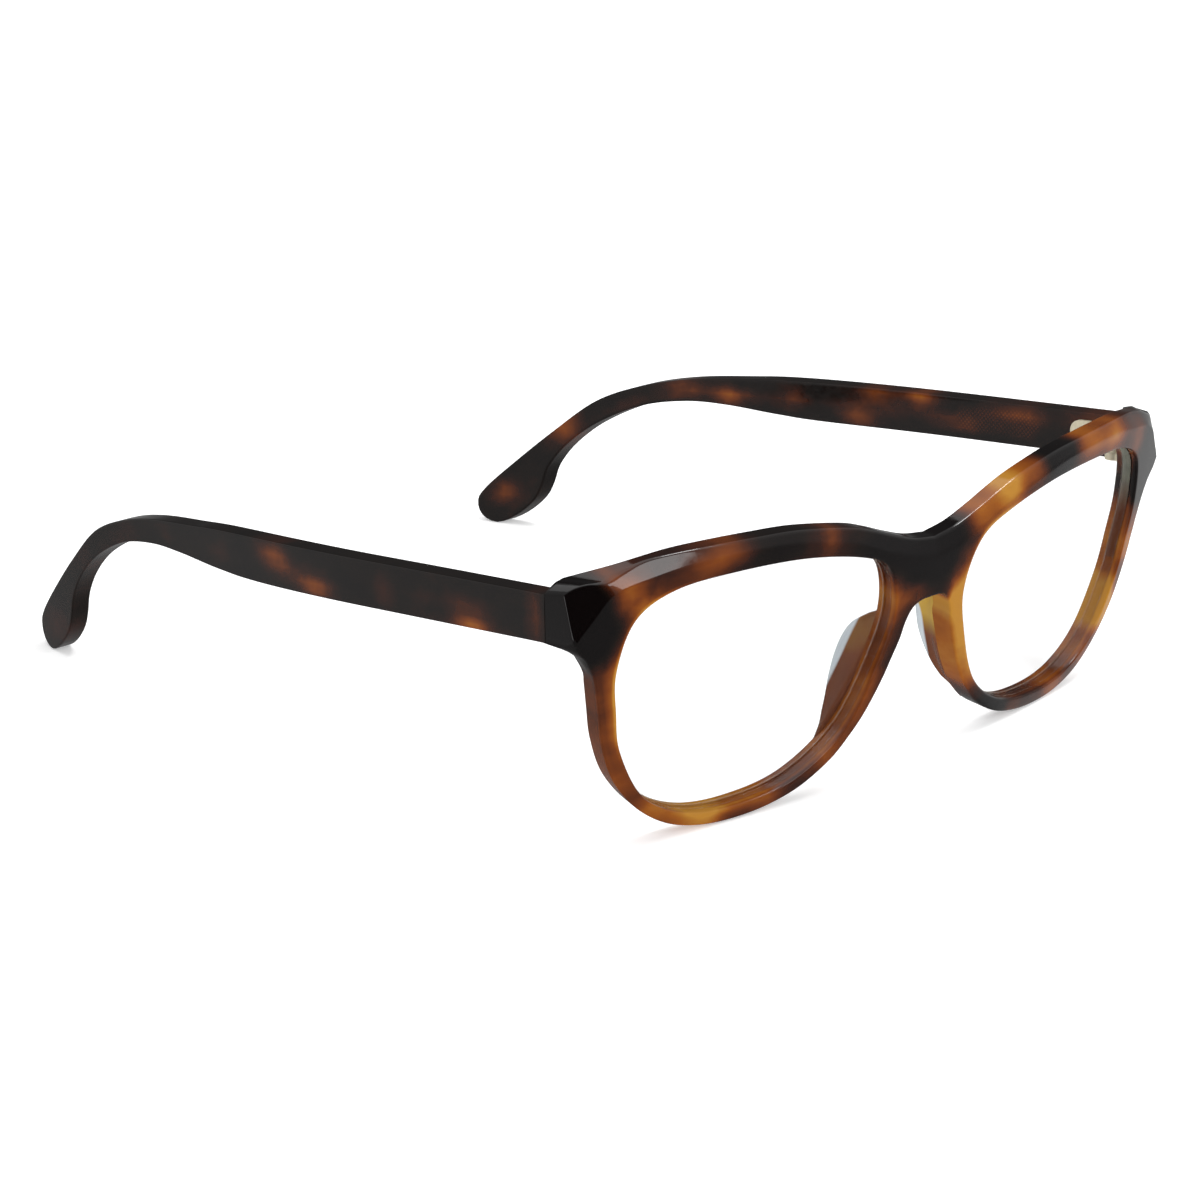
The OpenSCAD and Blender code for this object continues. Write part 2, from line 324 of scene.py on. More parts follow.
# Endpiece: front edge (x, z), crease (x, z, w), outer edge of the joint and inner edge of the joint
# (x, height from its middle), edge of the flat back (x, z)
ENDPIECE = [
    ((60.4, 19.8), (61.0, 21.5, 1.4), None, None, (61.1, 21.9)),
    ((62.1, 18.9), (63.3, 20.6, 1.15), (64.8, 5.3), (TEMPLE_IN, 4.4), (65.2, 18.9)),
    ((63.2, 18.0), (65.3, 20.1, 2.2), (66.2, 5.2), (TEMPLE_IN, 3.4), (65.4, 18.2)),
    ((64.2, 16.6), (67.0, 19.35, 2.9), (67.4, 4.6), (TEMPLE_IN, 2.5), (65.5, 17.4)),
    ((65.0, 15.4), (68.3, 18.4, 3.3), (TEMPLE_X, 3.6), (TEMPLE_IN, 1.6), (65.6, 16.6)),
    ((65.8, 14.3), (68.1, 16.4, 2.35), (TEMPLE_X, 1.5), (TEMPLE_IN, 0.8), (65.6, 15.6)),
    ((66.6, 13.2), (67.9, 14.4, 1.4), (TEMPLE_X, -0.6), (TEMPLE_IN, 0.0), (65.6, 14.5)),
    ((67.3, 12.1), (67.7, 12.3, 0.4), (TEMPLE_X, -2.4), (TEMPLE_IN, -0.9), (65.6, 13.4)),
    ((66.6, 10.4), (67.5, 10.5, 1.6), (TEMPLE_X, -3.6), (TEMPLE_IN, -1.8), (65.6, 12.4)),
    ((65.4, 9.2), (66.1, 9.2, 1.6), (66.6, -3.6), (TEMPLE_IN, -2.6), (65.5, 11.4)),
    ((64.7, 8.1), (65.2, 8.1, 1.8), (64.8, -3.6), (TEMPLE_IN, -3.3), (65.0, 10.0)),
]
# Stations where the curves have corners
JOINT_FROM = len(BROW) + 1         # the joint face starts
FACET_CORNER = len(BROW) + 4       # upper outer corner of the triangular facet
FACET_TIP = len(BROW) + 7
UNDER = len(BROW) + 8              # the joint face turns in along its underside
JOINT_TO = len(BROW) + len(ENDPIECE) - 1
# Rim below the endpiece, round the lens and up the side of the nose to the middle of the bridge
RIM_SIDE = [(63.9, 6.2), (63.2, 3.8), (62.4, 0.2), (61.1, -5.2), (58.4, -11.2), (53.8, -16.4), (48.2, -19.9),
            (42.0, -21.5), (35.4, -21.7), (29.0, -21.0), (23.0, -19.3), (17.4, -16.2), (14.0, -13.0),
            (11.8, -10.4), (10.0, -7.6), (8.4, -4.6), (7.1, -1.6), (5.9, 1.2), (5.2, 3.8), (4.0, 5.8),
            (2.2, 6.6), (0, 6.7)]
FLAT = 1.05                        # width of the flat strip kept beside the rounded edges of the back
BACK_DROP = 0.25                   # the back's top edge lies this far below the brow's

# Radii along the edge: of the ridge before the bevel, of the crease and of the back's edge
BACK_ROUND = 0.6
BROW_ROUND = 0.55
BROW_END = (50, 0.35)              # beyond this x the brow's crease has this radius
SHOULDER_ROUNDS = (0.3, 0.6, BACK_ROUND)
FACET_ROUNDS = (0.18, 0.22, 0.1)   # crisp round the triangular facet, and rounder by
LOW_ROUNDER = (0.6, 0.8)           # this much (ridge, crease) below it,
BROW_ROUNDER = 0.6                 # this much (crease) towards the brow,
JOINT_ROUNDER = 0.75               # and this much (back's edge) above the temple
LOW_FADE = (13.0, 2.5)             # height where the first of these starts, length of its fade,
BROW_FADE = (66.2, 2.8)            # x where the second does,
JOINT_FADE = 1.2                   # length of the third's fade
RIM_ROUNDS = (0.85, 0.3, BACK_ROUND)
LEAST_ROUND = 0.3
FACE_INSET = 1.1                   # the flat front face starts this many ridge radii inside the ridge,
OPENING_ROOM = 0.25                # and at least this far from the lens openings

# Section of a lens opening: how far outside the lens shape, depth, radius and steps of the corner there.
# Rounded front edge, wall, groove for the lens, wall, rounded back edge
RIM_ROUND = 0.75                   # width of the rounded edges
GROOVE = 0.42
MOUTH = 0.08                       # the groove's mouth is this much wider than the lens on each side
TAPER = 0.02
OPENING = [(RIM_ROUND, 0, 0, 0), (0, 0, 0.5, 4), (0, LENS_NEAR - MOUTH, 0.08, 2),
           (GROOVE, LENS_NEAR + TAPER, 0.05, 2), (GROOVE, LENS_FAR - TAPER, 0.05, 2),
           (0, LENS_FAR + MOUTH, 0.08, 2), (0, FRONT_T, 0.62, 4), (RIM_ROUND, FRONT_T, 0, 0)]


def joint_point(x, up):
    """A point of the joint plane, which stands upright when the frame lies on a table."""
    return (x, JOINT_Y - up * math.tan(FALL), MID_Z + up)


def plain_station(front, crease, back, flat, radii):
    """A station without joint face: there the section's last two corners lie on the back's edge."""
    between = [0.5 * a + 0.5 * b for a, b in zip(flat, back)]
    return front, crease, from_front((*back, FRONT_T)), from_front((*between, FRONT_T)), flat, radii


def endpiece_radii(edge, crease, joint):
    """Radii at a station of the endpiece, from its front edge, its crease and the joint's outer edge."""
    low = ease((LOW_FADE[0] - edge[1]) / LOW_FADE[1])
    brow = ease((BROW_FADE[0] - crease[0]) / BROW_FADE[1])
    above = ease((joint[1] - HALF_H) / JOINT_FADE)
    return (FACET_ROUNDS[0] + LOW_ROUNDER[0] * low,
            FACET_ROUNDS[1] + LOW_ROUNDER[1] * low + BROW_ROUNDER * brow,
            FACET_ROUNDS[2] + JOINT_ROUNDER * above)


def front_stations():
    """Half of each lengthwise curve of the front's edge, from the top middle round to the underside of the
    bridge: ridge, crease, outer and inner edge of the joint, edge of the flat back, and the radii."""
    stations = []
    for x, top, ridge, ridge_round, deep in BROW:
        crease_round = BROW_ROUND if x < BROW_END[0] else BROW_END[1]
        back = (x, top - BACK_DROP)
        radii = (ridge_round, crease_round, BACK_ROUND)
        stations.append(plain_station((x, ridge), (x, top, deep), back, (x, back[1] - FLAT), radii))
    for edge, crease, outer, inner, back in ENDPIECE:
        if outer is None:
            stations.append(plain_station(edge, crease, back, (edge[0], back[1] - FLAT), SHOULDER_ROUNDS))
            continue
        radii = endpiece_radii(edge, crease, outer)
        stations.append((edge, crease, joint_point(*outer), joint_point(*inner), back, radii))
    side = np.array(RIM_SIDE, float)
    ahead = np.gradient(side, axis=0)
    ahead[-1] = (-1, 0)
    ahead /= np.linalg.norm(ahead, axis=1)[:, None]
    flat = side + FLAT * np.stack([ahead[:, 1], -ahead[:, 0]], 1)
    for p, q in zip(side, flat):
        stations.append(plain_station(p, (*p, FRONT_T / 2), p, q, RIM_ROUNDS))
    return [np.array(curve, float) for curve in zip(*stations)]


def both_halves(half):
    """A whole loop from its half, which starts and ends on the middle plane."""
    return np.vstack([half, half[-2:0:-1]])


def mirrored(half):
    """The same for points, whose x changes sign on the other side."""
    loop = both_halves(half)
    loop[[0, len(half) - 1], 0] = 0
    loop[len(half):, 0] *= -1
    return loop


def lens_loop(grow, steps=12):
    """The lens shape as a closed loop of (x, z), grown outwards."""
    base = smooth_closed(LENS, steps) * LENS_HALF + (LENS_X, 0)
    return base + outward(base) * grow


def build_front(material):
    ridge, crease, joint, joint_in, flat, radii = front_stations()
    gaps = np.maximum(*(np.linalg.norm(np.diff(p, axis=0), axis=1) for p in (sheet(ridge, 0), joint)))
    steps = [max(2, int(math.ceil(g / STEP))) for g in gaps]
    radii = smooth_split(radii, steps, [FACET_TIP])
    ridge = mirrored(smooth_split(ridge, steps, [FACET_TIP]))
    crease = mirrored(smooth_split(crease, steps, [FACET_CORNER, FACET_TIP]))
    joint = mirrored(smooth_split(joint, steps, [JOINT_FROM, FACET_CORNER, UNDER, JOINT_TO]))
    joint_in = mirrored(smooth_split(joint_in, steps, [JOINT_FROM, JOINT_TO]))
    flat = mirrored(smooth_split(flat, steps, [JOINT_FROM, JOINT_TO]))
    ridge_round, crease_round, back_round = np.abs(both_halves(radii)).T

    # The edge all round, from the front face over the bevel and the joint to the back
    openings = [lens_loop(RIM_ROUND) * (sign, 1) for sign in (1, -1)]
    to_opening = np.linalg.norm(ridge[:, None] - np.vstack(openings)[None], axis=2)
    room = np.min(to_opening, axis=1) - OPENING_ROOM
    inset = np.minimum(np.maximum(ridge_round, LEAST_ROUND) * FACE_INSET, room)
    face = ridge - outward(ridge) * inset[:, None]
    section = [sheet(face, 0), sheet(ridge, 0), from_front(crease), joint, joint_in, sheet(flat, FRONT_T)]
    rounds = (ridge_round, crease_round, back_round, np.minimum(back_round, LEAST_ROUND))
    shell = Shell()
    shell.band([on_table(row) for row in rounded(section, [(r, 4) for r in rounds])])

    for sign in (1, -1):
        rings = [sheet(lens_loop(grow) * (sign, 1), w) for grow, w, _, _ in OPENING]
        corners = [(radius, count) for _, _, radius, count in OPENING[1:-1]]
        shell.band([on_table(row) for row in rounded(rings, corners)])
    shell.cap(face, openings, FACE_GRID, lambda points: on_table(sheet(points, 0)))
    shell.cap(flat, openings, FACE_GRID, lambda points: on_table(sheet(points, FRONT_T)))
    obj = shell.build("tortoise_front", [material])
    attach(obj, "front")
    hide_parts("front_frame")
    return obj


# ---- lenses ----

# Edge of a lens: how far outside the lens shape, depth from the nearer face
CHAMFER = [(-0.25, 0.0), (-0.12, 0.03), (-0.05, 0.13)]
BEVEL = (0.3, 0.5)
FROST_FROM = (51.0, -4.0)          # the ground edge shows frosted beyond this x and z
CLEAR, EDGE, FROST = 0, 1, 2       # material slots


def build_lens(side, clear, edge, frost_light):
    chamfer_front = [(grow, LENS_NEAR + deep) for grow, deep in CHAMFER]
    chamfer_back = [(grow, LENS_FAR - deep) for grow, deep in reversed(CHAMFER)]
    grow, deep = BEVEL
    wall = [chamfer_front[-1], (grow, LENS_NEAR + deep), (grow, LENS_FAR - deep), chamfer_back[0]]
    wall_slots = [FROST if x > FROST_FROM[0] and z > FROST_FROM[1] else CLEAR for x, z in lens_loop(0)]
    shell = Shell()
    for profile, slots in ((chamfer_front, EDGE), (wall, wall_slots), (chamfer_back, EDGE)):
        shell.band([on_table(sheet(lens_loop(grow), w)) for grow, w in profile], slots)
    for w in (LENS_NEAR, LENS_FAR):
        shell.cap(lens_loop(CHAMFER[0][0]), [], LENS_GRID, lambda points, w=w: on_table(sheet(points, w)))
    obj = shell.build(f"clear_lens_{side}", [clear, edge, frost_light], mirror=side == "right")
    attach(obj, "front")
    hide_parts(f"lens_{side}")
    return obj


# ---- nose pads ----

# Along the rim's nose side, from the bridge down: edge of the rim (x, z), width of the pad's foot on the rim,
# distance of its crest from the edge, height of the crest behind the front
PAD = [
    (4.6, 5.0, 1.6, 0.8, 0.0), (5.0, 4.2, 1.9, 0.9, 0.6), (5.4, 2.9, 2.2, 1.1, 2.2),
    (6.1, 0.8, 2.5, 1.7, 3.9), (7.1, -1.6, 2.7, 2.1, 4.5), (8.4, -4.6, 2.9, 2.1, 4.5),
    (10.0, -7.6, 3.0, 1.9, 3.9), (11.8, -10.4, 3.0, 1.6, 2.9), (14.0, -13.0, 2.8, 1.3, 1.7),
    (16.2, -15.2, 2.2, 1.0, 0.6), (17.6, -16.4, 1.8, 0.8, 0.0),
]
PAD_SINK = 0.35                    # the foot sits inside the rim
PAD_INSET = 0.12                   # and this far from the rim's edge
WALL_LEAN = 0.25                   # lean of the wall on the nose side
CREST_HALF = 1.05                  # half width of the rounded crest where the pad is high,
CREST_LEAST = 0.15                 # and what it keeps where it runs out
CREST_DROP = 0.35                  # the crest's shoulder on the nose side lies this far below it,
FAR_DROP = 1.3                     # and the other this many times as far


def pad_section(foot, crest, height):
    """Closed outline across the pad: (distance from the edge of the rim, depth)."""
    sunk = FRONT_T - PAD_SINK
    top = FRONT_T + height
    half = CREST_HALF * min(height / 2.0, 1.0) + CREST_LEAST
    drop = CREST_DROP * min(height, 1.0)
    wall = (0.1 + WALL_LEAN * crest * min(height / 4, 1), FRONT_T + 0.4 * height)
    slope = (0.45 * (crest + half) + 0.55 * foot, FRONT_T + 0.45 * height)
    outline = [(PAD_INSET, sunk), wall, (crest - half, top - drop), (crest, top),
               (crest + half, top - FAR_DROP * drop), slope, (foot, sunk)]
    return smooth_closed(outline, 5)


def build_pad(side, material):
    shell = Shell()
    stations = smooth_open(PAD, [5] * (len(PAD) - 1))
    ahead = np.gradient(stations[:, :2], axis=0)
    ahead /= np.linalg.norm(ahead, axis=1)[:, None]
    into = np.stack([-ahead[:, 1], ahead[:, 0]], 1)
    rows = []
    for (x, z, foot, crest, height), n in zip(stations, into):
        section = pad_section(foot, crest, max(height, 0.0))
        flat = np.array([x, z]) + section[:, :1] * n
        rows.append(from_front(np.column_stack([flat, section[:, 1]])))
    shell.band([on_table(r) for r in rows])
    n = len(rows[0])
    for row in (rows[0], rows[-1]):
        middle = row.mean(0)
        fan = [(k, (k + 1) % n, n) for k in range(n)]
        shell.add(on_table(np.vstack([row, middle])), fan, 0)
    obj = shell.build(f"acetate_pad_{side}", [material], mirror=side == "right")
    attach(obj, "front")
    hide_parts(f"nose_pad_{side}")
    return obj


# ---- temples ----

# Side view: y along the temple, height from its middle line; top edge, round tip, heel and underside
TEMPLE = [(5, 3.6), (40, 3.6), (78, 3.4), (92, 2.8), (104, 1.9), (114, 0.1), (124, -3.3), (134, -9.8),
          (143, -16.4), (149, -21.2), (151, -23.9), (150.3, -26.8), (147.2, -28.1), (143, -26.5),
          (138.8, -23.3), (136.8, -20.2), (135.2, -16.6), (131, -12.1), (124, -7.5), (114, -3.6),
          (104, -2.1), (95, -2.2), (84, -3.1), (72, -3.6), (40, -3.6), (5, -3.6)]
END_POINTS = 9                     # points across the end at the joint
END_CORNER = 0.35                  # a point this far behind each corner of the end keeps it crisp
END_CLEAR = 0.5                    # the curve's own points start this far behind the end
TEMPLE_ROUND = 0.62                # radius of the long edges
END_SHARPER = 0.52                 # the radius is this much less at the end,
END_RUN = (0.25, 0.8)              # from this far behind the joint plane, over this length
FACE_SHARE = 1.15                  # the flat face starts this many radii inside the outline


def temple_outline():
    """The side view as a closed loop, cut at the joint plane."""
    p = np.array(TEMPLE, float)
    gaps = np.linalg.norm(np.diff(p, axis=0), axis=1)
    curve = smooth_open(p, [max(3, int(g / TEMPLE_STEP)) for g in gaps])
    cut = JOINT_Y + BUTT - curve[:, 1] * math.tan(FALL)
    kept = curve[curve[:, 0] > cut + END_CLEAR]
    heights = np.linspace(-HALF_H, HALF_H, END_POINTS)
    ends = [(JOINT_Y + BUTT - h * math.tan(FALL), h) for h in heights]
    upper = [(ends[-1][0] + END_CORNER, HALF_H)]
    lower = [(ends[0][0] + END_CORNER, -HALF_H)]
    return np.vstack([ends, upper, kept, lower])


def build_temple(side, material):
    outline = temple_outline()
    at_end = 1 - ease((outline[:, 0] - JOINT_Y - END_RUN[0]) / END_RUN[1])
    radius = TEMPLE_ROUND - END_SHARPER * at_end
    flat = outline - outward(outline) * (radius * FACE_SHARE)[:, None]

    def layer(loop, t):
        return from_temple(np.column_stack([loop, np.full(len(loop), t)]))

    section = [layer(flat, 0.0), layer(outline, 0.0), layer(outline, TEMPLE_T), layer(flat, TEMPLE_T)]
    shell = Shell()
    shell.band([on_table(row) for row in rounded(section, [(radius, 5), (radius, 5)])])
    for t in (0.0, TEMPLE_T):
        shell.cap(flat, [], TEMPLE_GRID, lambda points, t=t: on_table(layer(points, t)))
    obj = shell.build(f"tortoise_temple_{side}", [material], mirror=side == "right")
    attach(obj, f"{side}_temple")
    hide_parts(f"temple_{side}")
    return obj


# ---- tortoiseshell ----

# Amber places in the front's sheet: x, z, half width, half height, turn in degrees, strength
FRONT_AMBER = [
    (-59.6, 18.2, 3.6, 3.4, 20, 0.58), (-62.8, 20.8, 2.4, 1.6, 0, 0.3), (-47.0, 21.5, 4.5, 2.6, 10, 0.36),
    (-42.0, 23.0, 3.0, 2.0, 0, 0.22), (-24.0, 21.4, 2.2, 3.0, 0, 0.25), (-62.6, 4.5, 3.5, 5.5, 0, 0.32),
    (-61.0, -5.0, 3.0, 5.0, 10, 0.3), (-58.0, -11.5, 3.5, 4.5, 30, 0.34), (-52.0, -17.0, 4.5, 3.2, 35, 0.5),
    (-47.5, -19.5, 3.5, 3.0, 0, 0.3), (-42.0, -20.5, 4.5, 3.0, 0, 0.68), (-31.5, -19.5, 5.0, 3.0, -8, 0.35),
    (-18.5, -15.6, 4.0, 4.0, -35, 0.34), (-12.5, -8.3, 2.6, 5.0, -30, 0.3), (-10.6, 2.0, 2.0, 7.0, -10, 0.34),
    (-10.6, 7.6, 3.4, 3.6, 0, 0.62), (-4.0, 8.4, 3.0, 1.8, 0, 0.4), (5.6, 4.6, 1.3, 2.4, 0, 0.45),
    (7.2, 4.8, 2.8, 5.0, 10, 0.9), (9.0, -3.5, 1.8, 5.5, 20, 0.72), (12.5, -9.5, 3.0, 4.0, 30, 0.45),
    (6.2, 12.6, 2.6, 2.2, 0, 0.3), (10.0, 17.5, 3.5, 3.0, 30, 0.55), (17.5, 20.8, 4.5, 3.0, 25, 0.9),
    (24.5, 22.0, 3.2, 3.2, 0, 0.3), (40.0, 22.6, 5.0, 3.0, -5, 0.55), (48.0, 21.8, 4.0, 3.0, 0, 0.6),
    (57.0, 18.5, 3.0, 3.0, 0, 0.35), (61.0, -1.5, 3.0, 3.4, 0, 0.6), (62.0, 4.0, 3.0, 3.5, 0, 0.3),
    (56.5, -12.0, 5.0, 4.4, -30, 0.95), (50.0, -18.0, 4.0, 3.0, -30, 0.34), (27.0, -20.0, 4.0, 2.4, 0, 0.3),
    (41.0, -21.0, 4.5, 2.4, 0, 0.42),
]
# Near-black places: the same
FRONT_DARK = [
    (-66.8, 14.5, 5.0, 6.5, 0, 0.95), (-34.0, 22.0, 5.0, 3.5, 0, 0.16),
    (-13.0, 18.0, 6.0, 4.0, 20, 0.28), (0.0, 14.0, 8.0, 4.5, 0, 0.6), (31.0, 22.8, 3.6, 3.2, 0, 0.6),
    (66.0, 15.0, 5.5, 7.0, 0, 0.75), (62.0, 9.0, 3.0, 3.0, 0, 0.5), (22.0, -18.5, 5.0, 3.0, 0, 0.5),
]
# Where light gathers in the edge of the lens openings: the same
FRONT_GLOW = [
    (-60.0, 4.0, 4.0, 11.0, 0, 1.0), (-55.0, 17.0, 5.0, 3.0, 0, 0.7), (10.0, 2.0, 5.0, 13.0, 0, 0.9),
    (57.0, -10.0, 5.0, 5.0, 0, 0.5), (14.0, 17.0, 8.0, 5.0, 0, 0.7), (-42.0, -20.0, 8.0, 4.0, 0, 0.4),
]
# Temples: y, height, half length, half height, turn, strength. The photograph shows the right one's outer
# face and the left one's inner face
TEMPLE_AMBER = {
    "right": [(11.0, 0.0, 1.6, 4.0, 0, 0.36), (24.5, -3.1, 4.5, 1.3, 0, 0.6), (26.0, -0.4, 6.0, 1.6, 0, 0.26),
              (43.0, -0.3, 2.4, 2.4, 0, 0.25), (58.5, -2.2, 4.4, 1.5, 0, 0.52),
              (64.0, -0.6, 4.0, 1.4, 0, 0.25), (68.5, 1.3, 4.2, 2.0, 0, 0.46), (84.0, 0.5, 4.0, 1.6, 0, 0.1),
              (99.0, 0.8, 5.0, 0.9, 0, 0.25), (112.0, -2.0, 4.0, 2.5, -25, 0.15),
              (128.0, -9.0, 4.0, 3.0, -35, 0.15), (143.0, -23.0, 5.0, 3.0, 0, 0.2)],
    "left": [(14.0, 1.5, 5.0, 3.0, 0, 0.45), (30.0, 2.0, 7.0, 1.8, 0, 0.34), (52.0, 2.6, 4.0, 1.4, 0, 0.62),
             (62.0, 2.4, 4.0, 1.6, 0, 0.5), (66.0, -2.0, 4.5, 1.8, 0, 0.5), (44.0, -1.0, 6.0, 1.2, 0, 0.3),
             (94.0, -0.5, 4.0, 2.0, 0, 0.45), (105.0, 0.6, 4.0, 2.0, -5, 0.4), (80.0, 0.5, 3.0, 2.0, 0, 0.25),
             (131.0, -8.5, 4.0, 3.0, -35, 0.5), (144.5, -22.0, 3.2, 2.6, 0, 0.5)],
}
# Amber that is everywhere, and (GLOW_LEVEL) the least painted light in the edge of the lens openings
FRONT_LEVEL = 0.215
TEMPLE_LEVEL = 0.1
GLOW_LEVEL = 0.03
# Painted light on the walls of the lens openings, let through where the acetate is thin: width beside the
# edge, depth where that starts, length of its fade, strength
WALL_LIGHT = (0.55, 0.3, 0.6, 0.34)
GLOW_WIDTH = 0.75                  # width beside the edge of an opening where light gathers
# The core wire in a temple: its middle line (y, height), its knurled head (y, half length, half height),
# half width of its plain strip, and where the strip starts and ends (y, length of the fade)
WIRE = [(26, 0), (62, 0), (98, -0.2), (112, -1.7), (122, -5.2), (131, -10.7)]
HEAD = (35, 9.2, 2.3)
HEAD_EDGE = (1.15, 0.3)            # its rounded outline fades out at this level, over this much
STRIP_HALF = 0.75
STRIP_START = (43, 2)
STRIP_END = (128, 6)
INNER_FROM = (2.2, 1.0)            # depth in a temple where its inner side starts, length of the fade
# The pads take the amber of the rim, with painted light glowing round one height, more in the left pad, and
# are clear at their free edge
PAD_LEVEL = 0.34
PAD_GLOW = (2, 4.5)                # that height, half width of the glow round it
PAD_GLOW_STRENGTH = {"right": 0.2, "left": 0.75}
PAD_CLEAR = (1.2, 3.2)             # height above the rim where it starts to clear, length of the fade
# painted light on the frosted lens walls, from brown at the foot to lighter grey higher up
FROST_LIGHT_FADE = (3.0, 9.0)            # height where a lens's frosted wall starts to lighten, length of the fade


def spots(a, b, places):
    """Sum of soft oval spots over a flat sheet."""
    total = np.zeros(len(a))
    for x, y, rx, ry, turn, strength in places:
        c, s = math.cos(math.radians(turn)), math.sin(math.radians(turn))
        u, v = (a - x) * c + (b - y) * s, (b - y) * c - (a - x) * s
        total += strength * np.exp(-((u / rx) ** 2 + (v / ry) ** 2))
    return total


def opening_gap(p):
    """Distance from the edge of the nearer lens opening, seen from the front."""
    flat = np.column_stack([np.abs(p[:, 0]), p[:, 1]])
    loop = lens_loop(0, 16)
    return np.min(np.linalg.norm(flat[:, None] - loop[None], axis=2), axis=1)


def front_amber_and_wall_light(points):
    p = to_front(off_table(points))
    x, z, w = p.T
    level = FRONT_LEVEL + spots(x, z, FRONT_AMBER) - spots(x, z, FRONT_DARK)
    width, start, fade, strength = WALL_LIGHT
    # painted light let through the thin walls of the openings, laid over the amber
    thin = np.exp(-(opening_gap(p) / width) ** 2) * ease((w - start) / fade)
    return level + strength * thin * (1 - np.clip(level, 0, 1))


def front_edge(points):
    """Light that gathers in the thin edge of the lens openings."""
    p = to_front(off_table(points))
    beside = np.exp(-(opening_gap(p) / GLOW_WIDTH) ** 2)
    return beside * np.minimum(GLOW_LEVEL + spots(p[:, 0], p[:, 1], FRONT_GLOW), 1.0)


def frost_light_by_height(points):
    """Painted light on the frosted wall of a lens, by height, from its brown foot to its lighter grey top."""
    z = to_front(off_table(points))[:, 1]
    return ease((z - FROST_LIGHT_FADE[0]) / FROST_LIGHT_FADE[1])


def pad_amber_and_glow(side):
    def value(points):
        z = to_front(off_table(points))[:, 1]
        # painted light glowing in the crystal pad round one height, added to the rim's amber
        return PAD_LEVEL + PAD_GLOW_STRENGTH[side] * np.exp(-((z - PAD_GLOW[0]) / PAD_GLOW[1]) ** 2)
    return value


def pad_free_edge(points):
    w = to_front(off_table(points))[:, 2]
    return ease((w - FRONT_T - PAD_CLEAR[0]) / PAD_CLEAR[1])


def temple_amber(side):
    def value(points):
        p = off_table(points)
        return TEMPLE_LEVEL + spots(p[:, 1], p[:, 2] - MID_Z, TEMPLE_AMBER[side])
    return value


def inner_side(p):
    """1 on a temple's inner face, 0 on its outer face."""
    over = np.maximum(p[:, 1] - BOW_START, 0)
    outer = TEMPLE_X - BOW_R + np.sqrt(BOW_R ** 2 - over ** 2)
    return ease((outer - np.abs(p[:, 0]) - INNER_FROM[0]) / INNER_FROM[1])


def wire_glow(points):
    """Where the core wire's flat knurled head shows through the acetate."""
    p = off_table(points)
    middle, half_length, half_height = HEAD
    u, v = (p[:, 1] - middle) / half_length, (p[:, 2] - MID_Z) / half_height
    return ease((HEAD_EDGE[0] - (np.abs(u) ** 3 + np.abs(v) ** 3)) / HEAD_EDGE[1]) * inner_side(p)


def wire_line(points):
    """The plain strip of the core wire behind its head."""
    p = off_table(points)
    y, h = p[:, 1], p[:, 2] - MID_Z
    line = np.interp(y, *zip(*WIRE))
    starts = ease((y - STRIP_START[0]) / STRIP_START[1])
    ends = ease((STRIP_END[0] - y) / STRIP_END[1])
    return np.exp(-((h - line) / STRIP_HALF) ** 4) * starts * ends * inner_side(p)


# ---- materials ----

NOISE_LOW, NOISE_HIGH = 0.3, 0.7   # the span that a noise mostly fills


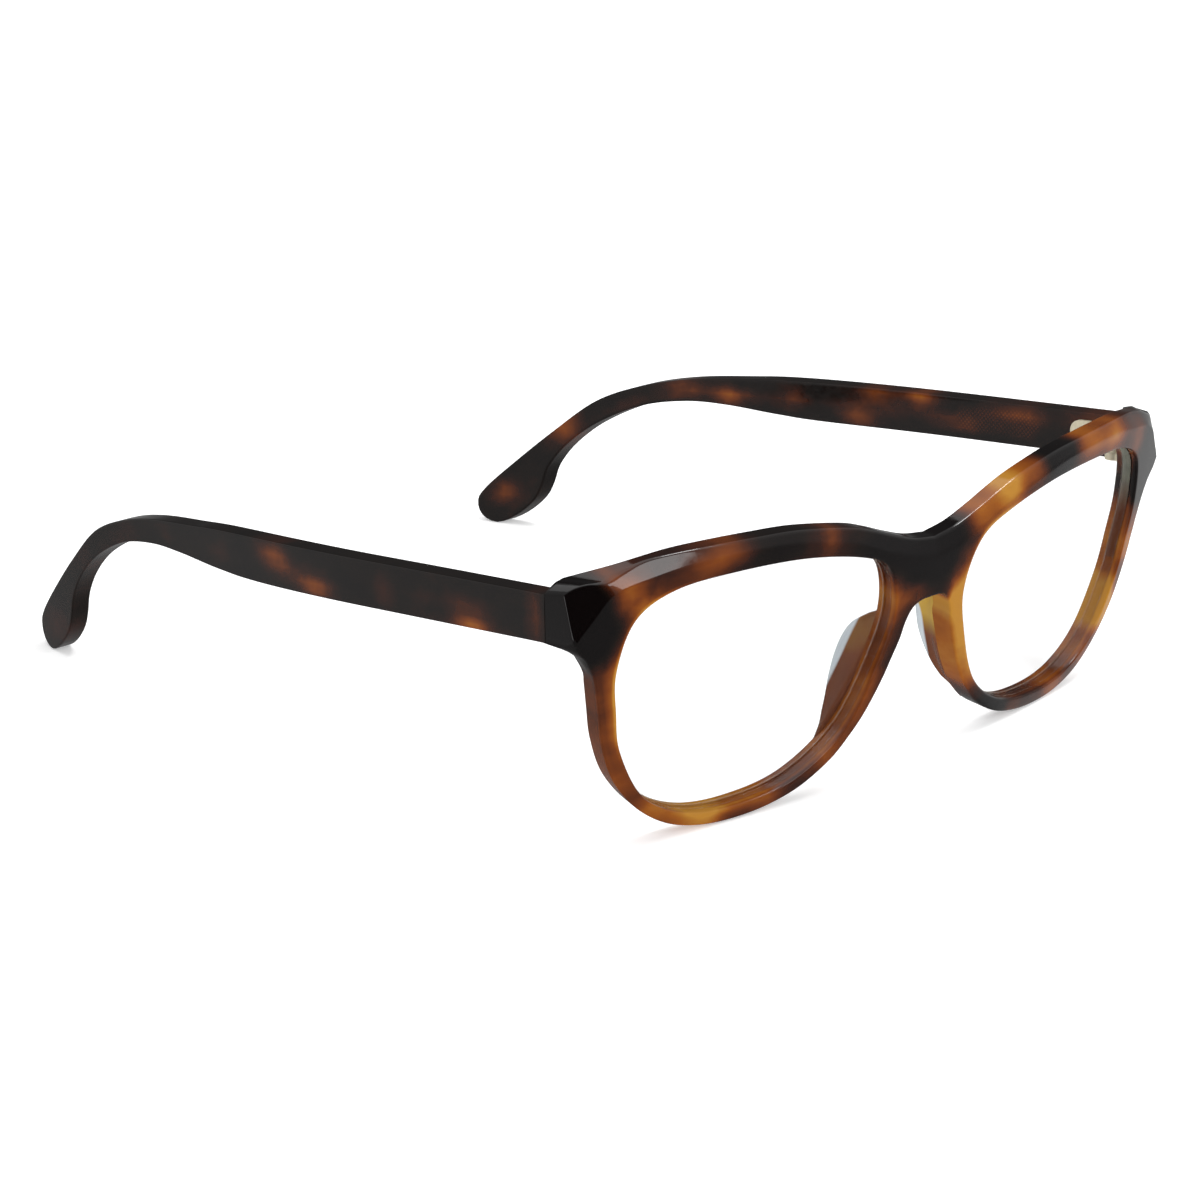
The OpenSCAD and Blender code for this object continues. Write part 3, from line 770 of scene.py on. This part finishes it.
class Nodes:
    """Short calls for building a material's node tree."""

    def __init__(self, name):
        self.material = bpy.data.materials.new(name)
        self.material.use_nodes = True
        self.tree = self.material.node_tree
        self.shader = self.tree.nodes["Principled BSDF"]
        self.place = self.node("ShaderNodeTexCoord").outputs["Object"]

    def node(self, kind, **values):
        made = self.tree.nodes.new(kind)
        for key, value in values.items():
            setattr(made, key, value)
        return made

    def link(self, a, b):
        self.tree.links.new(a, b)

    def feed(self, socket, value):
        """Sets a socket to a number or colour, or links another socket to it."""
        if isinstance(value, (int, float)):
            socket.default_value = value
        elif isinstance(value, tuple):
            socket.default_value = (*value, 1)
        else:
            self.link(value, socket)

    def stretched(self, scale):
        mapping = self.node("ShaderNodeMapping")
        mapping.inputs["Scale"].default_value = scale
        self.link(self.place, mapping.inputs["Vector"])
        return mapping.outputs["Vector"]

    def noise(self, scale, detail=3.0, rough=0.5, distortion=0.0, stretch=(1, 1, 1)):
        made = self.node("ShaderNodeTexNoise")
        self.link(self.stretched(stretch), made.inputs["Vector"])
        made.inputs["Scale"].default_value = scale
        made.inputs["Detail"].default_value = detail
        made.inputs["Roughness"].default_value = rough
        made.inputs["Distortion"].default_value = distortion
        return made.outputs["Fac"]

    def attribute(self, name):
        return self.node("ShaderNodeAttribute", attribute_name=name).outputs["Fac"]

    def math(self, operation, a, b):
        made = self.node("ShaderNodeMath", operation=operation)
        self.feed(made.inputs[0], a)
        self.feed(made.inputs[1], b)
        return made.outputs[0]

    def around_zero(self, value, amount):
        """A noise as a swing to both sides of zero."""
        return self.math("MULTIPLY", self.math("SUBTRACT", value, 0.5), amount)

    def ramp(self, value, stops):
        made = self.node("ShaderNodeValToRGB")
        elements = made.color_ramp.elements
        while len(elements) < len(stops):
            elements.new(0.5)
        for element, (at, colour) in zip(elements, stops):
            element.position = at
            element.color = (*colour, 1)
        self.link(value, made.inputs["Fac"])
        return made.outputs["Color"]

    def shades(self, noise, low, high):
        """Colours between two shades, by a noise."""
        return self.ramp(noise, [(NOISE_LOW, low), (NOISE_HIGH, high)])

    def mix(self, amount, a, b):
        made = self.node("ShaderNodeMix", data_type="RGBA")
        for index, value in ((0, amount), (6, a), (7, b)):
            self.feed(made.inputs[index], value)
        return made.outputs[2]

    def colour(self, value):
        self.link(value, self.shader.inputs["Base Color"])

    def bump(self, height, strength, distance):
        made = self.node("ShaderNodeBump")
        made.inputs["Strength"].default_value = strength
        made.inputs["Distance"].default_value = distance
        self.link(height, made.inputs["Height"])
        self.link(made.outputs["Normal"], self.shader.inputs["Normal"])

    def rough(self, low, high, scale):
        value = self.noise(scale, 4.0, 0.6)
        spread = self.node("ShaderNodeMapRange")
        ends = (("From Min", NOISE_LOW), ("From Max", NOISE_HIGH), ("To Min", low), ("To Max", high))
        for key, end in ends:
            spread.inputs[key].default_value = end
        self.link(value, spread.inputs["Value"])
        self.link(spread.outputs["Result"], self.shader.inputs["Roughness"])

    def set(self, **values):
        for key, value in values.items():
            self.shader.inputs[key.replace("_", " ")].default_value = value


TORTOISE = [(0.0, (0.003, 0.002, 0.002)), (0.14, (0.007, 0.004, 0.003)), (0.28, (0.024, 0.007, 0.004)),
            (0.42, (0.065, 0.015, 0.004)), (0.58, (0.16, 0.037, 0.005)), (0.75, (0.28, 0.08, 0.007)),
            (1.0, (0.44, 0.2, 0.025))]
WAVES = dict(detail=2.0, rough=0.4)   # noise of the faint waves in polished acetate
WAVE_STRENGTH = 0.05
WAVE_DEPTH = 0.0004               # depths of bump in metres: waves,
GROUND_DEPTH = 0.00005            # ground plastic
BRUSH_DEPTH = 0.00002             # and brushed metal
KNURL_SCALE = 760


def knurl(m):
    """Crossed diagonal lines, as on the core wire's head."""
    lines = []
    for direction in ((0, 1, 1), (0, 1, -1)):
        hatch = m.node("ShaderNodeTexWave", wave_type="BANDS", bands_direction="DIAGONAL")
        m.link(m.stretched(direction), hatch.inputs["Vector"])
        hatch.inputs["Scale"].default_value = KNURL_SCALE
        lines.append(hatch.outputs["Fac"])
    return m.math("MULTIPLY", *lines)


def acetate(name, edge=0.0, wire=0.0):
    """Polished tortoiseshell: soft amber clouds in near-black brown, drawn out a little along the sheet."""
    m = Nodes(name)
    clouds = m.noise(120, detail=3.0, distortion=0.4, stretch=(1, 1, 1.25))
    streaks = m.noise(420, detail=2.0, distortion=0.3, stretch=(0.45, 1, 1.5))
    # on the front the amber attribute also holds painted light on the walls of the lens openings
    level = m.math("ADD", m.attribute("amber"), m.around_zero(clouds, 0.34))
    level = m.math("ADD", level, m.around_zero(streaks, 0.12))
    # edge scales the painted light that gathers in the edge of the lens openings
    if edge:
        gather = m.math("MULTIPLY", m.attribute("edge_light"), edge)
        level = m.math("ADD", m.math("MAXIMUM", level, 0.0), gather)
    if wire:
        knurled = m.math("ADD", m.math("MULTIPLY", knurl(m), 0.16), 0.06)
        head = m.math("MULTIPLY", m.attribute("wire_head"), knurled)
        level = m.math("ADD", level, m.math("MULTIPLY", head, wire))
        level = m.math("ADD", level, m.math("MULTIPLY", m.attribute("wire_strip"), 0.13 * wire))
    m.colour(m.ramp(level, TORTOISE))
    m.rough(0.06, 0.16, 900)
    m.bump(m.noise(260, **WAVES), WAVE_STRENGTH, WAVE_DEPTH)
    m.set(IOR=1.5, Specular_IOR_Level=0.34, Coat_Weight=0.15, Coat_Roughness=0.04, Coat_IOR=1.5)
    return m.material


def pad_acetate():
    """Crystal acetate that takes the amber of the rim behind it, clear at its free edge."""
    m = Nodes("pad_crystal_acetate")
    # amber holds the rim's amber and the painted glow of light in the pad
    level = m.math("ADD", m.attribute("amber"), m.around_zero(m.noise(160), 0.3))
    tones = [(0.0, (0.05, 0.013, 0.006)), (0.45, (0.17, 0.055, 0.022)), (1.0, (0.5, 0.31, 0.055))]
    amber = m.ramp(level, tones)
    clear = m.ramp(m.attribute("free_edge"), [(0.45, (0, 0, 0)), (0.62, (1, 1, 1))])
    m.colour(m.mix(clear, amber, (0.62, 0.68, 0.72)))
    m.rough(0.05, 0.14, 700)
    m.bump(m.noise(300, **WAVES), WAVE_STRENGTH, WAVE_DEPTH)
    m.set(IOR=1.48, Specular_IOR_Level=0.4)
    return m.material


def clear_plastic():
    m = Nodes("clear_demo_lens")
    m.colour(m.shades(m.noise(40, detail=2.0), (0.02, 0.022, 0.024), (0.04, 0.044, 0.046)))
    m.rough(0.02, 0.05, 120)
    m.set(IOR=1.5, Alpha=0.075, Specular_IOR_Level=0.5)
    return m.material


def lens_rim():
    """Chamfers of a lens, of ground plastic, painted a warm grey for the light that runs along them."""
    m = Nodes("ground_lens_edge_light")
    m.colour(m.shades(m.noise(500, detail=4.0), (0.42, 0.36, 0.3), (0.62, 0.55, 0.46)))
    m.rough(0.2, 0.45, 1500)
    m.bump(m.noise(2500), 0.15, GROUND_DEPTH)
    m.set(IOR=1.5, Alpha=0.25, Specular_IOR_Level=0.5)
    return m.material


def lens_frost():
    """Ground wall of a lens, seen from inside through its clear face; its colour is painted light, brown at
    the foot and lighter grey higher up.
    """
    m = Nodes("frosted_lens_wall_light")
    ground = m.shades(m.noise(300), (0.15, 0.155, 0.12), (0.24, 0.245, 0.2))
    m.colour(m.mix(m.attribute("frost_light"), (0.12, 0.032, 0.007), ground))
    m.rough(0.45, 0.65, 1500)
    m.bump(m.noise(2500), 0.15, GROUND_DEPTH)
    m.set(IOR=1.5, Alpha=0.85, Specular_IOR_Level=0.3)
    return m.material


def metal(name, colour, low, high, brushed):
    """Metal with fine brushed grain; low and high bound its roughness."""
    m = Nodes(name)
    dark = tuple(0.86 * c for c in colour)
    grain = m.noise(500, stretch=brushed)
    m.colour(m.shades(grain, dark, colour))
    m.rough(low, high, 700)
    m.bump(grain, 0.08, BRUSH_DEPTH)
    m.set(Metallic=0.4)
    return m.material


# ---- build ----

front_material = acetate("front_tortoiseshell", edge=0.9)
temple_material = acetate("temple_tortoiseshell", wire=1.0)
pad_material = pad_acetate()
clear_material = clear_plastic()
rim_material = lens_rim()
frost_material = lens_frost()
hinge_metal = metal("hinge_nickel_silver", (0.86, 0.78, 0.58), 0.3, 0.45, (1, 3, 1))
screw_metal = metal("screw_steel", (0.66, 0.66, 0.68), 0.18, 0.32, (1, 1, 5))
wire_metal = metal("core_wire_nickel", (0.6, 0.57, 0.5), 0.25, 0.45, (1, 8, 1))

front_piece = build_front(front_material)
paint(front_piece, "amber", front_amber_and_wall_light)
paint(front_piece, "edge_light", front_edge)
for side in ("right", "left"):
    lens = build_lens(side, clear_material, rim_material, frost_material)
    paint(lens, "frost_light", frost_light_by_height)
    pad = build_pad(side, pad_material)
    paint(pad, "amber", pad_amber_and_glow(side))
    paint(pad, "free_edge", pad_free_edge)
    temple = build_temple(side, temple_material)
    paint(temple, "amber", temple_amber(side))
    paint(temple, "wire_head", wire_glow)
    paint(temple, "wire_strip", wire_line)

metals = {"front_hinge": hinge_metal, "temple_hinge": hinge_metal, "hinge_screw": screw_metal,
          "core_wire": wire_metal}
for name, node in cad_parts.items():
    kind = name.rsplit("_", 1)[0]
    if kind in metals:
        node.data.materials.clear()
        node.data.materials.append(metals[kind])

# ---- camera, in the temple frame ----

AZ = math.radians(-44.2)          # its place round the frame, from straight in front
EL = math.radians(14.5)
ROLL = math.radians(-3.77)
TARGET = np.array([-6.918, 60.0, 6.756])
DISTANCE = 570.5
SENSOR = 36
FOCAL = 105.36
SHIFT = (-0.00325, 0.00023)


def turned(direction):
    """A direction of the temple frame, in the row frame."""
    return Vector(on_table(direction) - on_table((0, 0, 0))).normalized()


def make_camera():
    back = np.array([math.sin(AZ) * math.cos(EL), -math.cos(AZ) * math.cos(EL), math.sin(EL)])
    level = np.array([math.cos(AZ), math.sin(AZ), 0])
    above = np.cross(back, level)
    across = level * math.cos(ROLL) + above * math.sin(ROLL)
    above = above * math.cos(ROLL) - level * math.sin(ROLL)
    data = bpy.data.cameras.new("camera")
    data.sensor_width = SENSOR
    data.lens = FOCAL
    data.shift_x, data.shift_y = SHIFT
    data.clip_start = 0.01
    camera = bpy.data.objects.new("camera", data)
    bpy.context.scene.collection.objects.link(camera)
    place = Vector(on_table(TARGET + back * DISTANCE))
    axes = Matrix((turned(across), turned(above), turned(back))).transposed()
    camera.matrix_world = Matrix.Translation(place) @ axes.to_4x4()
    bpy.context.scene.camera = camera


# ---- studio, in metres ----

FLOOR_R = 6


def make_floor():
    mesh = bpy.data.meshes.new("floor")
    bm = bmesh.new()
    bmesh.ops.create_circle(bm, cap_ends=True, radius=FLOOR_R, segments=64)
    bm.to_mesh(mesh)
    bm.free()
    floor = bpy.data.objects.new("floor", mesh)
    bpy.context.scene.collection.objects.link(floor)
    m = Nodes("pale_floor")
    m.colour(m.shades(m.noise(3, detail=2.0), (0.93, 0.93, 0.93), (0.95, 0.95, 0.95)))
    m.rough(0.8, 0.9, 20)
    m.set(Specular_IOR_Level=0.0, Emission_Color=(1, 1, 1, 1), Emission_Strength=0.42)
    mesh.materials.append(m.material)
    floor.visible_glossy = False


def softbox(name, at, aim, size, power):
    data = bpy.data.lights.new(name, "AREA")
    data.shape = "RECTANGLE"
    data.size, data.size_y = size
    data.energy = power
    lamp = bpy.data.objects.new(name, data)
    lamp.location = at
    lamp.rotation_mode = "QUATERNION"
    lamp.rotation_quaternion = (Vector(aim) - Vector(at)).to_track_quat("-Z", "Y")
    bpy.context.scene.collection.objects.link(lamp)


def make_world():
    """Pale studio for reflections: mid-grey all round and lighter overhead, with a dark patch at the front
    left and one behind on the right, and a faint glow low on each side."""
    world = bpy.data.worlds.new("studio")
    bpy.context.scene.world = world
    world.use_nodes = True
    tree = world.node_tree
    background = tree.nodes["Background"]
    place = tree.nodes.new("ShaderNodeTexCoord").outputs["Generated"]

    def towards(direction, start, end, low, high):
        """From low to high as the cosine of the angle to the direction goes from start to end."""
        dot = tree.nodes.new("ShaderNodeVectorMath")
        dot.operation = "DOT_PRODUCT"
        dot.inputs[1].default_value = Vector(direction).normalized()
        spread = tree.nodes.new("ShaderNodeMapRange")
        spread.interpolation_type = "SMOOTHSTEP"
        for key, value in (("From Min", start), ("From Max", end), ("To Min", low), ("To Max", high)):
            spread.inputs[key].default_value = value
        tree.links.new(place, dot.inputs[0])
        tree.links.new(dot.outputs["Value"], spread.inputs["Value"])
        return spread.outputs["Result"]

    def joined(operation, a, b):
        made = tree.nodes.new("ShaderNodeMath")
        made.operation = operation
        tree.links.new(a, made.inputs[0])
        tree.links.new(b, made.inputs[1])
        return made.outputs[0]

    sky = towards((0, 0, 1), -0.45, 0.8, 0.2, 0.6)
    flag = towards((-0.67, -0.73, 0.14), 0.86, 0.94, 1.0, 0.01)
    behind = towards((0.57, 0.68, 0.46), 0.78, 0.93, 1.0, 0.12)
    right = towards((0.95, 0.1, -0.33), 0.85, 0.98, 0.0, 0.5)
    left = towards((-0.75, 0.6, -0.3), 0.8, 0.97, 0.0, 0.22)
    shade = joined("MULTIPLY", joined("MULTIPLY", sky, flag), behind)
    glow = joined("ADD", right, left)
    tree.links.new(joined("ADD", shade, glow), background.inputs["Strength"])
    background.inputs["Color"].default_value = (1, 1, 1, 1)


make_camera()
make_floor()
make_world()
softbox("top", (0.0, 0.0, 1.0), (0, 0, 0), (1.2, 1.2), 4.6)
softbox("top_edge_light", (0.36, -0.2, 0.9), (0, -0.07, 0.03), (0.2, 0.2), 2.2)
softbox("brow_light", (-0.02, -0.88, 0.56), (-0.05, -0.07, 0.03), (0.58, 0.3), 2.6)
softbox("left_edge", (-1.0, -0.2, 0.05), (0, 0, 0.03), (0.25, 0.5), 0.8)
bpy.context.scene.view_settings.view_transform = "Standard"
